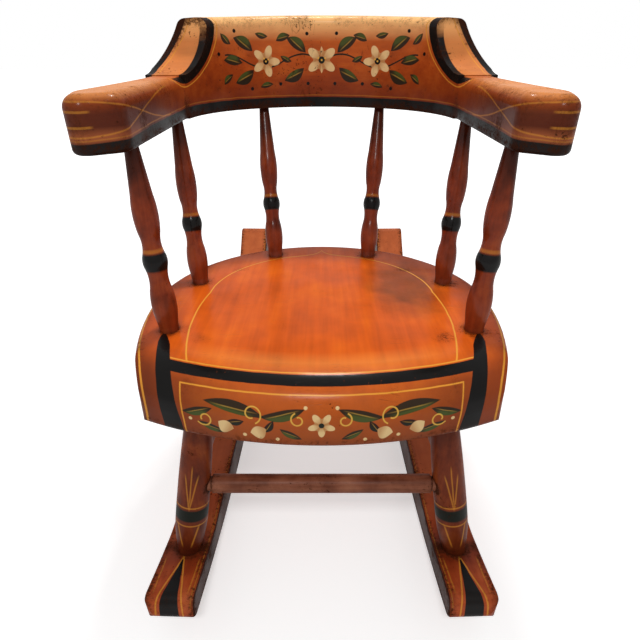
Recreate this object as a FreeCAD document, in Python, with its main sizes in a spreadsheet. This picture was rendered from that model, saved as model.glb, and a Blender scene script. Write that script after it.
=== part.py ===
import FreeCAD, Part
import math
import os
import re
import Sketcher

# A child's low-back wooden rocking chair: a plank seat with a rolled front, a sawn U-shaped arm rail with
# a crest on it, turned spindles, legs and stretchers, and two sawn rockers.
#
# The floor is at Z 0, X 0 is the line of symmetry, and Y 0 is the middle of the rockers' length.
# The front of the chair faces -Y. The seat is drawn in a frame of its own, whose origin lies in the
# seat's top face on the centre line, level with the middle spindles, and whose Y runs backwards in the
# seat. The rail has such a frame too, with its origin in the rail's underside above the seat's origin.

# Driving sizes: millimetres and degrees.
SIZES = [
    # Stance of the seat
    ("seat_height", 261.5, "floor to the seat's top at its origin"),
    ("seat_tilt", 5, "the seat's front is higher than its back by this angle"),
    ("seat_lead", 16, "seat origin ahead of the rockers' lowest point, for balance"),
    # Seat plank
    ("seat_half_width", 173, "half the seat's greatest width, and the radius of its round back"),
    ("seat_wide_line", 45, "greatest width lies this far ahead of the origin"),
    ("seat_side_radius", 375, "radius of the sides in plan"),
    ("plank_thickness", 34, "thickness of the plank"),
    ("bevel_width", 20, "underside bevel, measured across the underside"),
    ("bevel_height", 14, "underside bevel, measured up the edge"),
    ("seat_edge_round", 6, "rounding of the plank's top edge"),
    # Front roll of the seat
    ("seam_reach", 162, "seam between plank and roll, ahead of the origin"),
    ("front_reach", 209, "front of the roll, ahead of the origin"),
    ("front_bow_radius", 370, "radius of the bowed front in plan"),
    ("roll_drop", 54, "height of the roll's front"),
    ("roll_round", 36, "radius of the rolled top"),
    ("roll_foot_round", 6, "rounding of the roll's lower front edge"),
    ("roll_corner_round", 9, "rounding of the roll's upright corners"),
    # Arm rail
    ("rail_rise", 166.1, "seat's top to the rail's underside, at the origin"),
    ("rail_slope", 3.27, "the rail rises backwards from the seat by this angle"),
    ("rail_thickness", 40, "thickness of the rail"),
    ("rail_back_radius", 165, "inner radius of the rail's back"),
    ("rail_back_centre", 26, "centre of that radius, ahead of the origin"),
    ("rail_turn", 30, "angle from the centre line at which the tighter corners start"),
    ("rail_half_gap", 137.5, "half the clear width between the arms"),
    ("rail_back_width", 46, "width of the rail at the back"),
    ("rail_side_width", 38.5, "width of the rail at the sides"),
    ("arm_flare", 7.5, "the outer side swings out by this much towards the front"),
    ("arm_flare_reach", 122, "widest point of the arm, ahead of the origin"),
    ("arm_tip_reach", 159, "outer corner of the arm's end, ahead of the origin"),
    ("arm_tip_half_width", 171.5, "outer corner of the arm's end, from the centre line"),
    ("arm_inner_reach", 137.7, "inner corner of the arm's end, ahead of the origin"),
    ("arm_swell_round", 30, "rounding in plan at the widest point"),
    ("arm_tip_round", 12, "rounding in plan of the outer corner"),
    ("arm_inner_round", 15, "rounding in plan of the inner corner"),
    ("arm_top_round", 10, "rounding of the arm's top edges"),
    ("arm_under_round", 4, "rounding of the rail's lower edges"),
    # Crest
    ("crest_middle_height", 56, "height of the crest above the rail, at the centre"),
    ("crest_end_height", 50, "height of the crest above the rail, over its end"),
    ("crest_lean", 21, "the crest's outer face leans in by this much at the top"),
    ("crest_base", 6, "upright part of the crest's outer face above the rail"),
    ("crest_top_round", 9, "rounding of the crest's top edges"),
    ("crest_foot", 36, "foot of the scooped end, behind the origin"),
    ("crest_foot_step", 1.1, "thickness of the wood where the scoop runs out"),
    ("scoop_radius", 46, "radius of the scooped ends"),
    # Spindles, in diameters and in heights along the spindle from the seat
    ("spindle_foot", 17.5, "diameter in the seat"),
    ("spindle_swell", 21.8, "diameter of the lower swell"),
    ("spindle_swell_height", 25, "height of the lower swell"),
    ("spindle_low_neck", 17, "diameter of the neck under the bead"),
    ("spindle_low_neck_height", 53, "height of that neck"),
    ("spindle_bead", 21, "diameter of the bead"),
    ("spindle_bead_height", 65, "height of the bead"),
    ("spindle_high_neck", 16, "diameter of the neck over the bead"),
    ("spindle_high_neck_height", 79, "height of that neck"),
    ("spindle_vase", 20.6, "diameter of the upper swell"),
    ("spindle_vase_height", 101, "height of the upper swell"),
    ("spindle_top", 11.3, "diameter in the rail"),
    ("spindle_seat_depth", 24, "depth of the spindle in the seat"),
    ("spindle_rail_depth", 22, "depth of the spindle in the rail"),
    # Where the spindles stand, from the centre line and behind the origin
    ("front_spindle_seat_side", 139, "front spindle in the seat"),
    ("front_spindle_seat_back", -112, "front spindle in the seat"),
    ("front_spindle_rail_side", 150, "front spindle in the rail"),
    ("front_spindle_rail_back", -103, "front spindle in the rail"),
    ("middle_spindle_seat_side", 136, "middle spindle in the seat"),
    ("middle_spindle_rail_side", 149, "middle spindle in the rail"),
    ("middle_spindle_rail_back", 31, "middle spindle in the rail"),
    ("rear_spindle_seat_side", 59.5, "rear spindle in the seat"),
    ("rear_spindle_seat_back", 90, "rear spindle in the seat"),
    ("rear_spindle_rail_side", 70.6, "rear spindle in the rail"),
    ("rear_spindle_rail_back", 138, "rear spindle in the rail"),
    # Legs, in diameters and in heights along the leg from the rocker
    ("leg_foot", 24, "diameter in the rocker"),
    ("leg_ankle", 25.6, "diameter just above the rocker"),
    ("leg_ankle_height", 8, "height of the ankle"),
    ("leg_swell", 32, "greatest diameter"),
    ("leg_swell_height", 45, "height of the greatest diameter"),
    ("leg_calf", 30.4, "diameter between ankle and swell"),
    ("leg_calf_height", 25, "height of that place"),
    ("leg_shank", 29.3, "diameter between swell and seat"),
    ("leg_shank_height", 120, "height of that place"),
    ("leg_top", 20, "diameter in the seat"),
    ("leg_seat_depth", 24, "depth of the leg in the seat"),
    ("leg_rocker_depth", 18, "depth of the leg in the rocker"),
    # Where the legs stand
    ("front_leg_seat_side", 108.7, "front leg in the seat's underside, from the centre line"),
    ("front_leg_seat_back", -127.6, "front leg in the seat's underside, behind the origin"),
    ("front_leg_foot_reach", 194, "front foot ahead of the rockers' lowest point"),
    ("rear_leg_seat_side", 100, "rear leg in the seat's underside, from the centre line"),
    ("rear_leg_seat_back", 40, "rear leg in the seat's underside, behind the origin"),
    ("rear_leg_foot_reach", 79, "rear foot behind the rockers' lowest point"),
    ("foot_inset", 2, "the feet stand inside the middle of the rocker by this much"),
    # Stretchers
    ("stretcher_middle", 18.3, "diameter of a stretcher"),
    ("stretcher_end", 14, "diameter of its ends in the legs"),
    ("stretcher_end_gap", 2, "end of a stretcher to the leg's centre line"),
    ("stretcher_shoulder", 17.5, "shoulder of the front and rear stretchers to the leg's centre line"),
    ("side_stretcher_shoulder", 20.5, "shoulder of the side stretchers to the leg's centre line"),
    ("stretcher_taper", 1.5, "length of the taper from the shoulder to the full diameter"),
    ("front_stretcher_height", 78, "front stretcher, along the leg from the rocker"),
    ("side_stretcher_front_height", 98, "side stretcher, along the front leg from the rocker"),
    ("side_stretcher_rear_height", 84, "side stretcher, along the rear leg from the rocker"),
    ("rear_stretcher_height", 106, "rear stretcher, along the leg from the rocker"),
    # Rockers
    ("rocker_half_spacing", 133.3, "centre line to the middle of a rocker at its lowest point"),
    ("rocker_toe", 1.7, "the rockers close towards the rear by this angle each"),
    ("rocker_width", 46.5, "width of a rocker"),
    ("rocker_front_radius", 1020, "radius of the sole ahead of the lowest point"),
    ("rocker_rear_radius", 480, "radius of the sole behind the lowest point"),
    ("rocker_front_reach", 261, "tip ahead of the lowest point"),
    ("rocker_rear_reach", 364, "tail behind the lowest point"),
    ("rocker_middle_height", 41.5, "height of the straight top between the legs"),
    ("rocker_front_thickness", 26, "thickness from the front leg to the tip"),
    ("rocker_rear_thickness", 33, "thickness from the rear leg to the tail"),
    ("rocker_end_round", 9, "rounding of the corners of tip and tail, seen from the side"),
    ("rocker_corner_round", 9, "rounding of the outer corners of tip and tail, seen from above"),
    ("rocker_bend_radius", 80, "radius of the bends where the level top starts and ends"),
    ("rocker_edge_round", 2.5, "rounding of the long edges"),
    # Dowels, pins and the clearance of glued sockets
    ("dowel_diameter", 8, "diameter of the dowels"),
    ("dowel_depth", 16, "depth of a dowel in each piece"),
    ("roll_dowel_inner", 35, "inner dowels of the front roll, from the centre line"),
    ("roll_dowel_outer", 105, "outer dowels of the front roll, from the centre line"),
    ("roll_dowel_drop", 22, "dowels of the front roll, below the seat's top"),
    ("arm_dowel_spread", 22, "distance between the two dowels of the rail's joint"),
    ("crest_dowel_first", 8, "first crest dowel, as an angle round the back"),
    ("crest_dowel_second", 29, "second crest dowel, as an angle round the back"),
    ("crest_dowel_third", 52, "third crest dowel, as an angle round the corner"),
    ("pin_diameter", 6, "diameter of the pins through the rockers"),
    ("pin_drop", 9, "pins below the rocker's top, along the leg"),
    ("socket_gap", 0.1, "radial clearance of every socket"),
]

doc = FreeCAD.newDocument("RockingChair")
sheet = doc.addObject("Spreadsheet::Sheet", "Sizes")
for line, (alias, size, meaning) in enumerate(SIZES, start=1):
    sheet.set(f"A{line}", alias.replace("_", " "))
    sheet.set(f"B{line}", str(size))
    sheet.setAlias(f"B{line}", alias)
    sheet.set(f"C{line}", meaning)
doc.recompute()

ALIASES = {alias for alias, size, meaning in SIZES}


def bound(formula):
    """Return the formula with each size's alias written as a cell of the sheet."""

    def cell(word):
        return "Sizes." + word[0] if word[0] in ALIASES else word[0]

    return re.sub(r"[a-z_]+", cell, str(formula))


def number(formula):
    """Return what the formula comes to."""
    return float(sheet.evalExpression(bound(formula)))


def vector(x, y, z="0"):
    """Return the point whose three formulas are given."""
    return FreeCAD.Vector(number(x), number(y), number(z))


# Sketches and features

def new_body(label, placement):
    """Start a piece of its own, in its place in the chair."""
    body = doc.addObject("PartDesign::Body", label)
    body.Label = label
    body.Placement = placement
    return body


def new_sketch(body, plane_role, name):
    """Start a sketch on one of the body's origin planes."""
    sketch = body.newObject("Sketcher::SketchObject", name)
    plane = next(item for item in body.Origin.OriginFeatures if item.Role == plane_role)
    sketch.AttachmentSupport = [(plane, "")]
    sketch.MapMode = "FlatFace"
    return sketch


def pin_point(sketch, geometry, end, x, y):
    """Tie a point of the sketch to its two formulas."""
    for kind, formula in (("DistanceX", x), ("DistanceY", y)):
        constraint = sketch.addConstraint(Sketcher.Constraint(kind, -1, 1, geometry, end, number(formula)))
        sketch.setExpression(f"Constraints[{constraint}]", bound(formula))


def add_outline(sketch, corners):
    """Draw a closed outline: each corner is (x, y, through), and an edge with a point in through is an
    arc that passes through it on the way to the next corner."""
    spots = [vector(x, y) for x, y, through in corners]
    edges = []
    for index, (x, y, through) in enumerate(corners):
        start = spots[index]
        finish = spots[(index + 1) % len(spots)]
        if through is None:
            curve = Part.LineSegment(start, finish)
        else:
            curve = Part.Arc(start, vector(*through), finish)
        edge = sketch.addGeometry(curve, False)
        first = 1 if sketch.getPoint(edge, 1).distanceToPoint(start) < 1e-6 else 2
        edges.append((edge, first, 3 - first))
    for index, (edge, first, last) in enumerate(edges):
        next_edge, next_first, next_last = edges[(index + 1) % len(edges)]
        sketch.addConstraint(Sketcher.Constraint("Coincident", edge, last, next_edge, next_first))
    for (edge, first, last), (x, y, through) in zip(edges, corners):
        pin_point(sketch, edge, first, x, y)
        if through is not None:
            mark = sketch.addGeometry(Part.Point(vector(*through)), True)
            pin_point(sketch, mark, 1, *through)
            sketch.addConstraint(Sketcher.Constraint("PointOnObject", mark, 1, edge))


def add_pad(body, name, corners, length, plane_role="XY_Plane", midplane=False, reversed_side=False):
    """Pad an outline by a length."""
    sketch = new_sketch(body, plane_role, name + "Sketch")
    add_outline(sketch, corners)
    pad = body.newObject("PartDesign::Pad", name)
    pad.Profile = sketch
    pad.Midplane = midplane
    pad.Reversed = reversed_side
    pad.setExpression("Length", bound(length))
    doc.recompute()


def add_pocket(body, name, corners, plane_role):
    """Cut an outline away on both sides of its plane, right through the piece."""
    sketch = new_sketch(body, plane_role, name + "Sketch")
    add_outline(sketch, corners)
    before = body.Shape.Volume
    pocket = body.newObject("PartDesign::Pocket", name)
    pocket.Profile = sketch
    pocket.Type = "ThroughAll"
    pocket.Midplane = True
    doc.recompute()
    must_be_smaller(body, before, name)


def add_revolution(body, name, corners):
    """Turn an outline, drawn as radius and height, about the body's Z axis."""
    sketch = new_sketch(body, "XZ_Plane", name + "Sketch")
    add_outline(sketch, corners)
    revolution = body.newObject("PartDesign::Revolution", name)
    revolution.Profile = sketch
    revolution.ReferenceAxis = (sketch, ["V_Axis"])
    revolution.Angle = 360
    doc.recompute()


def pick_edges(body, picks):
    """Return the body's last feature with the edges for which picks(edge) is true."""
    edges = enumerate(body.Tip.Shape.Edges, start=1)
    return body.Tip, [f"Edge{index}" for index, edge in edges if picks(edge)]


def add_rounding(body, name, radius, picks):
    """Round the picked edges."""
    base = pick_edges(body, picks)
    rounding = body.newObject("PartDesign::Fillet", name)
    rounding.Base = base
    rounding.setExpression("Radius", bound(radius))
    doc.recompute()


def add_bevel(body, name, upright_leg, level_leg, picks):
    """Bevel the picked edges, which lie between an upright side and a level face."""
    base = pick_edges(body, picks)
    bevel = body.newObject("PartDesign::Chamfer", name)
    bevel.Base = base
    bevel.ChamferType = "Two distances"
    bevel.setExpression("Size", bound(upright_leg))
    bevel.setExpression("Size2", bound(level_leg))
    doc.recompute()


def drill(body, name, start, direction, diameter, depth, lead):
    """Drill a socket: start is where the drill meets the surface and direction is into the wood, both in
    the chair's frame. The cutter also reaches back out of the wood by its lead."""
    before = body.Shape.Volume
    cutter = body.newObject("PartDesign::SubtractiveCylinder", name)
    cutter.setExpression("Radius", bound(f"({diameter}) / 2 + socket_gap"))
    cutter.setExpression("Height", bound(f"({depth}) + ({lead})"))
    in_chair = along(start - unit(direction) * number(lead), direction)
    cutter.Placement = body.Placement.inverse().multiply(in_chair)
    doc.recompute()
    must_be_smaller(body, before, name)


def must_be_smaller(body, before, name):
    """Stop if a cut took nothing away."""
    if body.Shape.Volume > before - 1:
        raise RuntimeError(f"{name} cut nothing from {body.Label}")


def unit(direction):
    """Return the direction with length 1."""
    return FreeCAD.Vector(direction).normalize()


def along(start, direction):
    """Return the placement that stands a Z axis at start, pointing along direction."""
    return FreeCAD.Placement(start, FreeCAD.Rotation(FreeCAD.Vector(0, 0, 1), direction))


def on_plane(edge, axis, height):
    """Tell whether all of an edge lies at one height along X, Y or Z."""
    low = getattr(edge.BoundBox, axis + "Min")
    high = getattr(edge.BoundBox, axis + "Max")
    return abs(low - height) < 0.01 and abs(high - height) < 0.01


def upright_at(edge, x, y):
    """Tell whether an edge is upright and stands at x, y."""
    box = edge.BoundBox
    return box.XLength < 0.01 and box.YLength < 0.01 and math.hypot(box.XMin - x, box.YMin - y) < 0.05


def rod(name, start, finish, diameter):
    """Make a plain round rod from start to finish, for dowels and pins."""
    cylinder = doc.addObject("Part::Cylinder", name)
    cylinder.setExpression("Radius", bound(f"{diameter} / 2"))
    cylinder.Height = (finish - start).Length
    cylinder.Placement = along(start, finish - start)
    return cylinder


def group(label, rods):
    """Put identical rods in one node."""
    compound = doc.addObject("Part::Compound", label)
    compound.Label = label
    compound.Links = rods
    return compound


# Frames of the chair, the seat and the rail

ACROSS = FreeCAD.Vector(1, 0, 0)
BACKWARDS = FreeCAD.Vector(0, 1, 0)
UP = FreeCAD.Vector(0, 0, 1)
SIDES = (("left", -1), ("right", 1))



def rocker_extent(reach, radius):
    """Return how far a rocker's end reaches from its lowest point, with its lower corner rounded."""
    lean = f"{reach} / {radius}"
    return f"({reach} - rocker_end_round * ({lean} + sqrt(1 - ({lean})^2) - 1))"


FRONT_EXTENT = rocker_extent("rocker_front_reach", "rocker_front_radius")
REAR_EXTENT = rocker_extent("rocker_rear_reach", "rocker_rear_radius")
LOW_POINT = f"(({FRONT_EXTENT} - {REAR_EXTENT}) / 2)"
seat_frame = FreeCAD.Placement(
    vector("0", f"{LOW_POINT} - seat_lead", "seat_height"),
    FreeCAD.Rotation(ACROSS, -number("seat_tilt")),
)
rail_frame = seat_frame.multiply(
    FreeCAD.Placement(vector("0", "0", "rail_rise"), FreeCAD.Rotation(ACROSS, number("rail_slope")))
)


# Seat plank: the back is half a circle, the sides are flatter arcs tangent to it, and the front is cut
# off straight at the seam.

SEAT_SIDE_CENTRE = "(seat_half_width - seat_side_radius)"


def seat_side(reach):
    """Return the half width of the seat at a distance ahead of its origin."""
    return f"({SEAT_SIDE_CENTRE} + sqrt(seat_side_radius^2 - ({reach} - seat_wide_line)^2))"


SIDE_MIDDLE = "((seam_reach + seat_wide_line) / 2)"
plank_outline = [
    ("seat_half_width", "-seat_wide_line", ("0", "seat_half_width - seat_wide_line")),
    ("-seat_half_width", "-seat_wide_line", (f"-{seat_side(SIDE_MIDDLE)}", f"-{SIDE_MIDDLE}")),
    (f"-{seat_side('seam_reach')}", "-seam_reach", None),
    (seat_side("seam_reach"), "-seam_reach", (seat_side(SIDE_MIDDLE), f"-{SIDE_MIDDLE}")),
]
seat_plank = new_body("seat_plank", seat_frame)
add_pad(seat_plank, "Plank", plank_outline, "plank_thickness", reversed_side=True)

def free_edge_at(height):
    """Return a test for the plank's edges at a height, without the seam's."""
    return lambda edge: on_plane(edge, "Z", height) and not on_plane(edge, "Y", -number("seam_reach"))


underside_edge = free_edge_at(-number("plank_thickness"))
add_bevel(seat_plank, "UndersideBevel", "bevel_height", "bevel_width", underside_edge)
add_rounding(seat_plank, "TopEdge", "seat_edge_round", free_edge_at(0))

# Front roll: a straight-backed piece with a bowed front, whose top is rounded over and which hangs below
# the plank. The rounding is turned about the centre of the bow.

BOW_CENTRE = "(front_bow_radius - front_reach)"
# The bow meets the sides where two circles cross: the distance of their centres gives the place.
CENTRES_APART = f"sqrt({SEAT_SIDE_CENTRE}^2 + ({BOW_CENTRE} + seat_wide_line)^2)"
TO_CHORD = f"((front_bow_radius^2 - seat_side_radius^2 + {CENTRES_APART}^2) / (2 * {CENTRES_APART}))"
HALF_CHORD = f"sqrt(front_bow_radius^2 - {TO_CHORD}^2)"
CORNER_SIDE = (
    f"(({SEAT_SIDE_CENTRE} * {TO_CHORD} + ({BOW_CENTRE} + seat_wide_line) * {HALF_CHORD})"
    f" / {CENTRES_APART})"
)
CORNER_REACH = f"(sqrt(front_bow_radius^2 - {CORNER_SIDE}^2) - {BOW_CENTRE})"
ROLL_SIDE_MIDDLE = f"((seam_reach + {CORNER_REACH}) / 2)"
roll_side = (f"-{seat_side(ROLL_SIDE_MIDDLE)}", f"-{ROLL_SIDE_MIDDLE}")
roll_outline = [
    (seat_side("seam_reach"), "-seam_reach", None),
    (f"-{seat_side('seam_reach')}", "-seam_reach", roll_side),
    (f"-{CORNER_SIDE}", f"-{CORNER_REACH}", ("0", "-front_reach")),
    (CORNER_SIDE, f"-{CORNER_REACH}", (seat_side(ROLL_SIDE_MIDDLE), f"-{ROLL_SIDE_MIDDLE}")),
]
seat_front_roll = new_body("seat_front_roll", seat_frame)
add_pad(seat_front_roll, "Roll", roll_outline, "roll_drop", reversed_side=True)
corner_side = number(CORNER_SIDE)
corner_reach = number(CORNER_REACH)


def on_roll_corner(edge):
    """Tell whether an edge is one of the roll's two upright corners."""
    return any(upright_at(edge, x, -corner_reach) for x in (corner_side, -corner_side))


add_rounding(seat_front_roll, "Corners", "roll_corner_round", on_roll_corner)


def quarter(centre_y, centre_z, radius, side_y, side_z):
    """Return the middle of a quarter arc that lies to one side of its centre in each direction."""
    reach = f"{radius} * sqrt(0.5)"
    return (f"{centre_y} {side_y} {reach}", f"{centre_z} {side_z} {reach}")


# What the groove takes away: the corner over the rolled top, and the corner under the rounded foot.
OUTSIDE = "(roll_foot_round / 2)"
rolled_top = quarter("(roll_round - front_reach)", "-roll_round", "roll_round", "-", "+")
rounded_foot = quarter(
    "(roll_foot_round - front_reach)", "(roll_foot_round - roll_drop)", "roll_foot_round", "-", "-"
)
roll_top_waste = [
    ("roll_round - front_reach", "0", rolled_top),
    ("-front_reach", "-roll_round", None),
    (f"-front_reach - {OUTSIDE}", "-roll_round", None),
    (f"-front_reach - {OUTSIDE}", OUTSIDE, None),
    ("roll_round - front_reach", OUTSIDE, None),
]
roll_foot_waste = [
    ("roll_foot_round - front_reach", "-roll_drop", rounded_foot),
    ("-front_reach", "roll_foot_round - roll_drop", None),
    (f"-front_reach - {OUTSIDE}", "roll_foot_round - roll_drop", None),
    (f"-front_reach - {OUTSIDE}", f"-roll_drop - {OUTSIDE}", None),
    ("roll_foot_round - front_reach", f"-roll_drop - {OUTSIDE}", None),
]


def add_groove(body, name, corners, axis_y):
    """Turn an outline, drawn as Y and height, about an upright axis and cut it away."""
    sketch = new_sketch(body, "YZ_Plane", name + "Sketch")
    add_outline(sketch, corners)
    foot = vector(axis_y, "0")
    axis = sketch.addGeometry(Part.LineSegment(foot, foot + BACKWARDS), True)
    pin_point(sketch, axis, 1, axis_y, "0")
    pin_point(sketch, axis, 2, axis_y, "1")
    before = body.Shape.Volume
    groove = body.newObject("PartDesign::Groove", name)
    groove.Profile = sketch
    groove.ReferenceAxis = (sketch, ["Axis0"])
    groove.Angle = 360
    doc.recompute()
    must_be_smaller(body, before, name)


add_groove(seat_front_roll, "RolledTop", roll_top_waste, BOW_CENTRE)
add_groove(seat_front_roll, "RoundedFoot", roll_foot_waste, BOW_CENTRE)
# The rolled top starts behind the seam at the sides, so it goes on over the plank's front corners.
add_groove(seat_plank, "RolledCorners", roll_top_waste, BOW_CENTRE)

# Arm rail: two halves with a butt joint at the back. The back is an arc, each corner is a tighter arc
# tangent to it, and the arms run forward, the inner side straight and the outer side flaring.

INNER_CORNER_RADIUS = "((rail_half_gap - rail_back_radius * sin(rail_turn)) / (1 - sin(rail_turn)))"
INNER_CORNER_X = f"(rail_half_gap - {INNER_CORNER_RADIUS})"
INNER_CORNER_Y = f"((rail_back_radius - {INNER_CORNER_RADIUS}) * cos(rail_turn) - rail_back_centre)"
OUTER_BACK_RADIUS = "(rail_back_radius + rail_back_width)"
OUTER_HALF_WIDTH = "(rail_half_gap + rail_side_width)"
OUTER_CORNER_RADIUS = (
    f"(({OUTER_HALF_WIDTH} - {OUTER_BACK_RADIUS} * sin(rail_turn)) / (1 - sin(rail_turn)))"
)
OUTER_CORNER_X = f"({OUTER_HALF_WIDTH} - {OUTER_CORNER_RADIUS})"
OUTER_CORNER_Y = f"(({OUTER_BACK_RADIUS} - {OUTER_CORNER_RADIUS}) * cos(rail_turn) - rail_back_centre)"
CORNER_MIDDLE = "((rail_turn + 90) / 2)"


def mirrored(side, formula):
    """Return an X formula for the right side, or its mirror image for the left."""
    return f"{side} * ({formula})"


def back_arc(side, radius, angle):
    """Return the point of a back arc at an angle from the centre line."""
    return (mirrored(side, f"{radius} * sin({angle})"), f"{radius} * cos({angle}) - rail_back_centre")


def outer_back(side, angle):
    """Return the point of the outer back arc at an angle from the centre line."""
    return back_arc(side, OUTER_BACK_RADIUS, angle)


def corner_arc(side, x, y, radius, angle):
    """Return the point of a corner arc at an angle from the centre line."""
    return (mirrored(side, f"{x} + {radius} * sin({angle})"), f"{y} + {radius} * cos({angle})")


def inner_corner(side, angle):
    """Return the point of the inner corner arc at an angle from the centre line."""
    return corner_arc(side, INNER_CORNER_X, INNER_CORNER_Y, INNER_CORNER_RADIUS, angle)


def outer_corner(side, angle):
    """Return the point of the outer corner arc at an angle from the centre line."""
    return corner_arc(side, OUTER_CORNER_X, OUTER_CORNER_Y, OUTER_CORNER_RADIUS, angle)


FLARE_LENGTH = f"(arm_flare_reach + {OUTER_CORNER_Y})"
FLARE_RADIUS = f"(({FLARE_LENGTH}^2 + arm_flare^2) / (2 * arm_flare))"


def flare_width(part_of_length):
    """Return the arm's outer half width at a part of the flare's length."""
    run = f"({FLARE_LENGTH} * {part_of_length})"
    return f"({OUTER_HALF_WIDTH} + {FLARE_RADIUS} - sqrt({FLARE_RADIUS}^2 - {run}^2))"


def arm_outline(side):
    """Return the plan of one half of the rail."""
    return [
        (*back_arc(side, "rail_back_radius", "0"), back_arc(side, "rail_back_radius", "rail_turn / 2")),
        (*inner_corner(side, "rail_turn"), inner_corner(side, CORNER_MIDDLE)),
        (mirrored(side, "rail_half_gap"), INNER_CORNER_Y, None),
        (mirrored(side, "rail_half_gap"), "-arm_inner_reach", None),
        (mirrored(side, "arm_tip_half_width"), "-arm_tip_reach", None),
        (
            mirrored(side, flare_width("1")),
            "-arm_flare_reach",
            (mirrored(side, flare_width("0.5")), f"{OUTER_CORNER_Y} - {FLARE_LENGTH} * 0.5"),
        ),
        (mirrored(side, OUTER_HALF_WIDTH), OUTER_CORNER_Y, outer_corner(side, CORNER_MIDDLE)),
        (*outer_back(side, "rail_turn"), outer_back(side, "rail_turn / 2")),
        (*outer_back(side, "0"), None),
    ]


# The crest stands on the rail from one foot to the other. Where it stands, the rail keeps square edges.
INNER_FOOT_X = f"({INNER_CORNER_X} + sqrt({INNER_CORNER_RADIUS}^2 - (crest_foot - {INNER_CORNER_Y})^2))"
OUTER_FOOT_X = f"({OUTER_CORNER_X} + sqrt({OUTER_CORNER_RADIUS}^2 - (crest_foot - {OUTER_CORNER_Y})^2))"


def crest_half_outline(side):
    """Return the plan of one half of the crest, and of the rail's top under it."""
    return [
        (*back_arc(side, "rail_back_radius", "0"), back_arc(side, "rail_back_radius", "rail_turn / 2")),
        (*inner_corner(side, "rail_turn"), inner_corner(side, CORNER_MIDDLE)),
        (mirrored(side, INNER_FOOT_X), "crest_foot", None),
        (mirrored(side, OUTER_FOOT_X), "crest_foot", outer_corner(side, CORNER_MIDDLE)),
        (*outer_back(side, "rail_turn"), outer_back(side, "rail_turn / 2")),
        (*outer_back(side, "0"), None),
    ]


def arm_edge_at(height):
    """Return a test for an arm's edges at a height, without the edge of the butt joint."""
    return lambda edge: on_plane(edge, "Z", height) and not on_plane(edge, "X", 0)


arms = {}
for side_name, side in SIDES:
    arm = new_body(f"arm_{side_name}", rail_frame)
    arms[side_name] = arm
    add_pad(arm, "Rail", arm_outline(side), "rail_thickness")
    swell = (side * number(flare_width("1")), -number("arm_flare_reach"))
    tip = (side * number("arm_tip_half_width"), -number("arm_tip_reach"))
    inside = (side * number("rail_half_gap"), -number("arm_inner_reach"))
    add_rounding(arm, "SwellCorner", "arm_swell_round", lambda edge: upright_at(edge, *swell))
    add_rounding(arm, "TipCorner", "arm_tip_round", lambda edge: upright_at(edge, *tip))
    add_rounding(arm, "InnerCorner", "arm_inner_round", lambda edge: upright_at(edge, *inside))
    for name, radius, height in (
        ("TopEdges", "arm_top_round", number("rail_thickness")),
        ("LowerEdges", "arm_under_round", 0),
    ):
        add_rounding(arm, name, radius, arm_edge_at(height))
    add_pad(arm, "CrestSeat", crest_half_outline(side), "rail_thickness")


# Crest: one bent piece whose outer face leans in and whose top is crowned. Each end is scooped out by a
# quarter round that runs out in a thin foot.

crest_frame = rail_frame.multiply(FreeCAD.Placement(vector("0", "0", "rail_thickness"), FreeCAD.Rotation()))
crest_outline = [
    (f"-{INNER_FOOT_X}", "crest_foot", inner_corner(-1, CORNER_MIDDLE)),
    (*inner_corner(-1, "rail_turn"), back_arc(1, "rail_back_radius", "0")),
    (*inner_corner(1, "rail_turn"), inner_corner(1, CORNER_MIDDLE)),
    (INNER_FOOT_X, "crest_foot", None),
    (OUTER_FOOT_X, "crest_foot", outer_corner(1, CORNER_MIDDLE)),
    (*outer_back(1, "rail_turn"), outer_back(1, "0")),
    (*outer_back(-1, "rail_turn"), outer_corner(-1, CORNER_MIDDLE)),
    (f"-{OUTER_FOOT_X}", "crest_foot", None),
]
# The crown is an arc over the crest's ends and its middle; the scoops take the ends.
CROWN_HALF_WIDTH = "(rail_half_gap + rail_side_width / 2)"
CLEAR_SIDE = "(rail_half_gap + rail_side_width * 2)"
CLEAR_HEIGHT = "(crest_middle_height * 1.5)"
crown_waste = [
    (f"-{CLEAR_SIDE}", "crest_end_height", None),
    (f"-{CROWN_HALF_WIDTH}", "crest_end_height", ("0", "crest_middle_height")),
    (CROWN_HALF_WIDTH, "crest_end_height", None),
    (CLEAR_SIDE, "crest_end_height", None),
    (CLEAR_SIDE, CLEAR_HEIGHT, None),
    (f"-{CLEAR_SIDE}", CLEAR_HEIGHT, None),
]
SCOOP_TOP = "(crest_foot + scoop_radius)"
SCOOP_CENTRE_HEIGHT = "(crest_foot_step + scoop_radius)"
scoop_waste = [
    (
        SCOOP_TOP,
        SCOOP_CENTRE_HEIGHT,
        ("crest_foot + scoop_radius * sqrt(0.5)", f"{SCOOP_CENTRE_HEIGHT} - scoop_radius * sqrt(0.5)"),
    ),
    ("crest_foot", "crest_foot_step", None),
    ("-rail_back_centre", "crest_foot_step", None),
    ("-rail_back_centre", CLEAR_HEIGHT, None),
    (SCOOP_TOP, CLEAR_HEIGHT, None),
]
crest = new_body("crest", crest_frame)
add_pad(crest, "Crest", crest_outline, "crest_middle_height")
outer_radii = (number(OUTER_BACK_RADIUS), number(OUTER_CORNER_RADIUS))


def on_outer_top(edge):
    """Tell whether an edge runs round the outer side of the crest's top."""
    if not on_plane(edge, "Z", number("crest_middle_height")) or edge.Curve.TypeId != "Part::GeomCircle":
        return False
    return min(abs(edge.Curve.Radius - radius) for radius in outer_radii) < 0.01


crown_start = number("(crest_end_height + crest_foot_step) / 2")


def along_crown(edge):
    """Tell whether an edge runs along the crown."""
    return edge.BoundBox.ZMin > crown_start and not on_plane(edge, "Y", number("crest_foot"))


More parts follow.
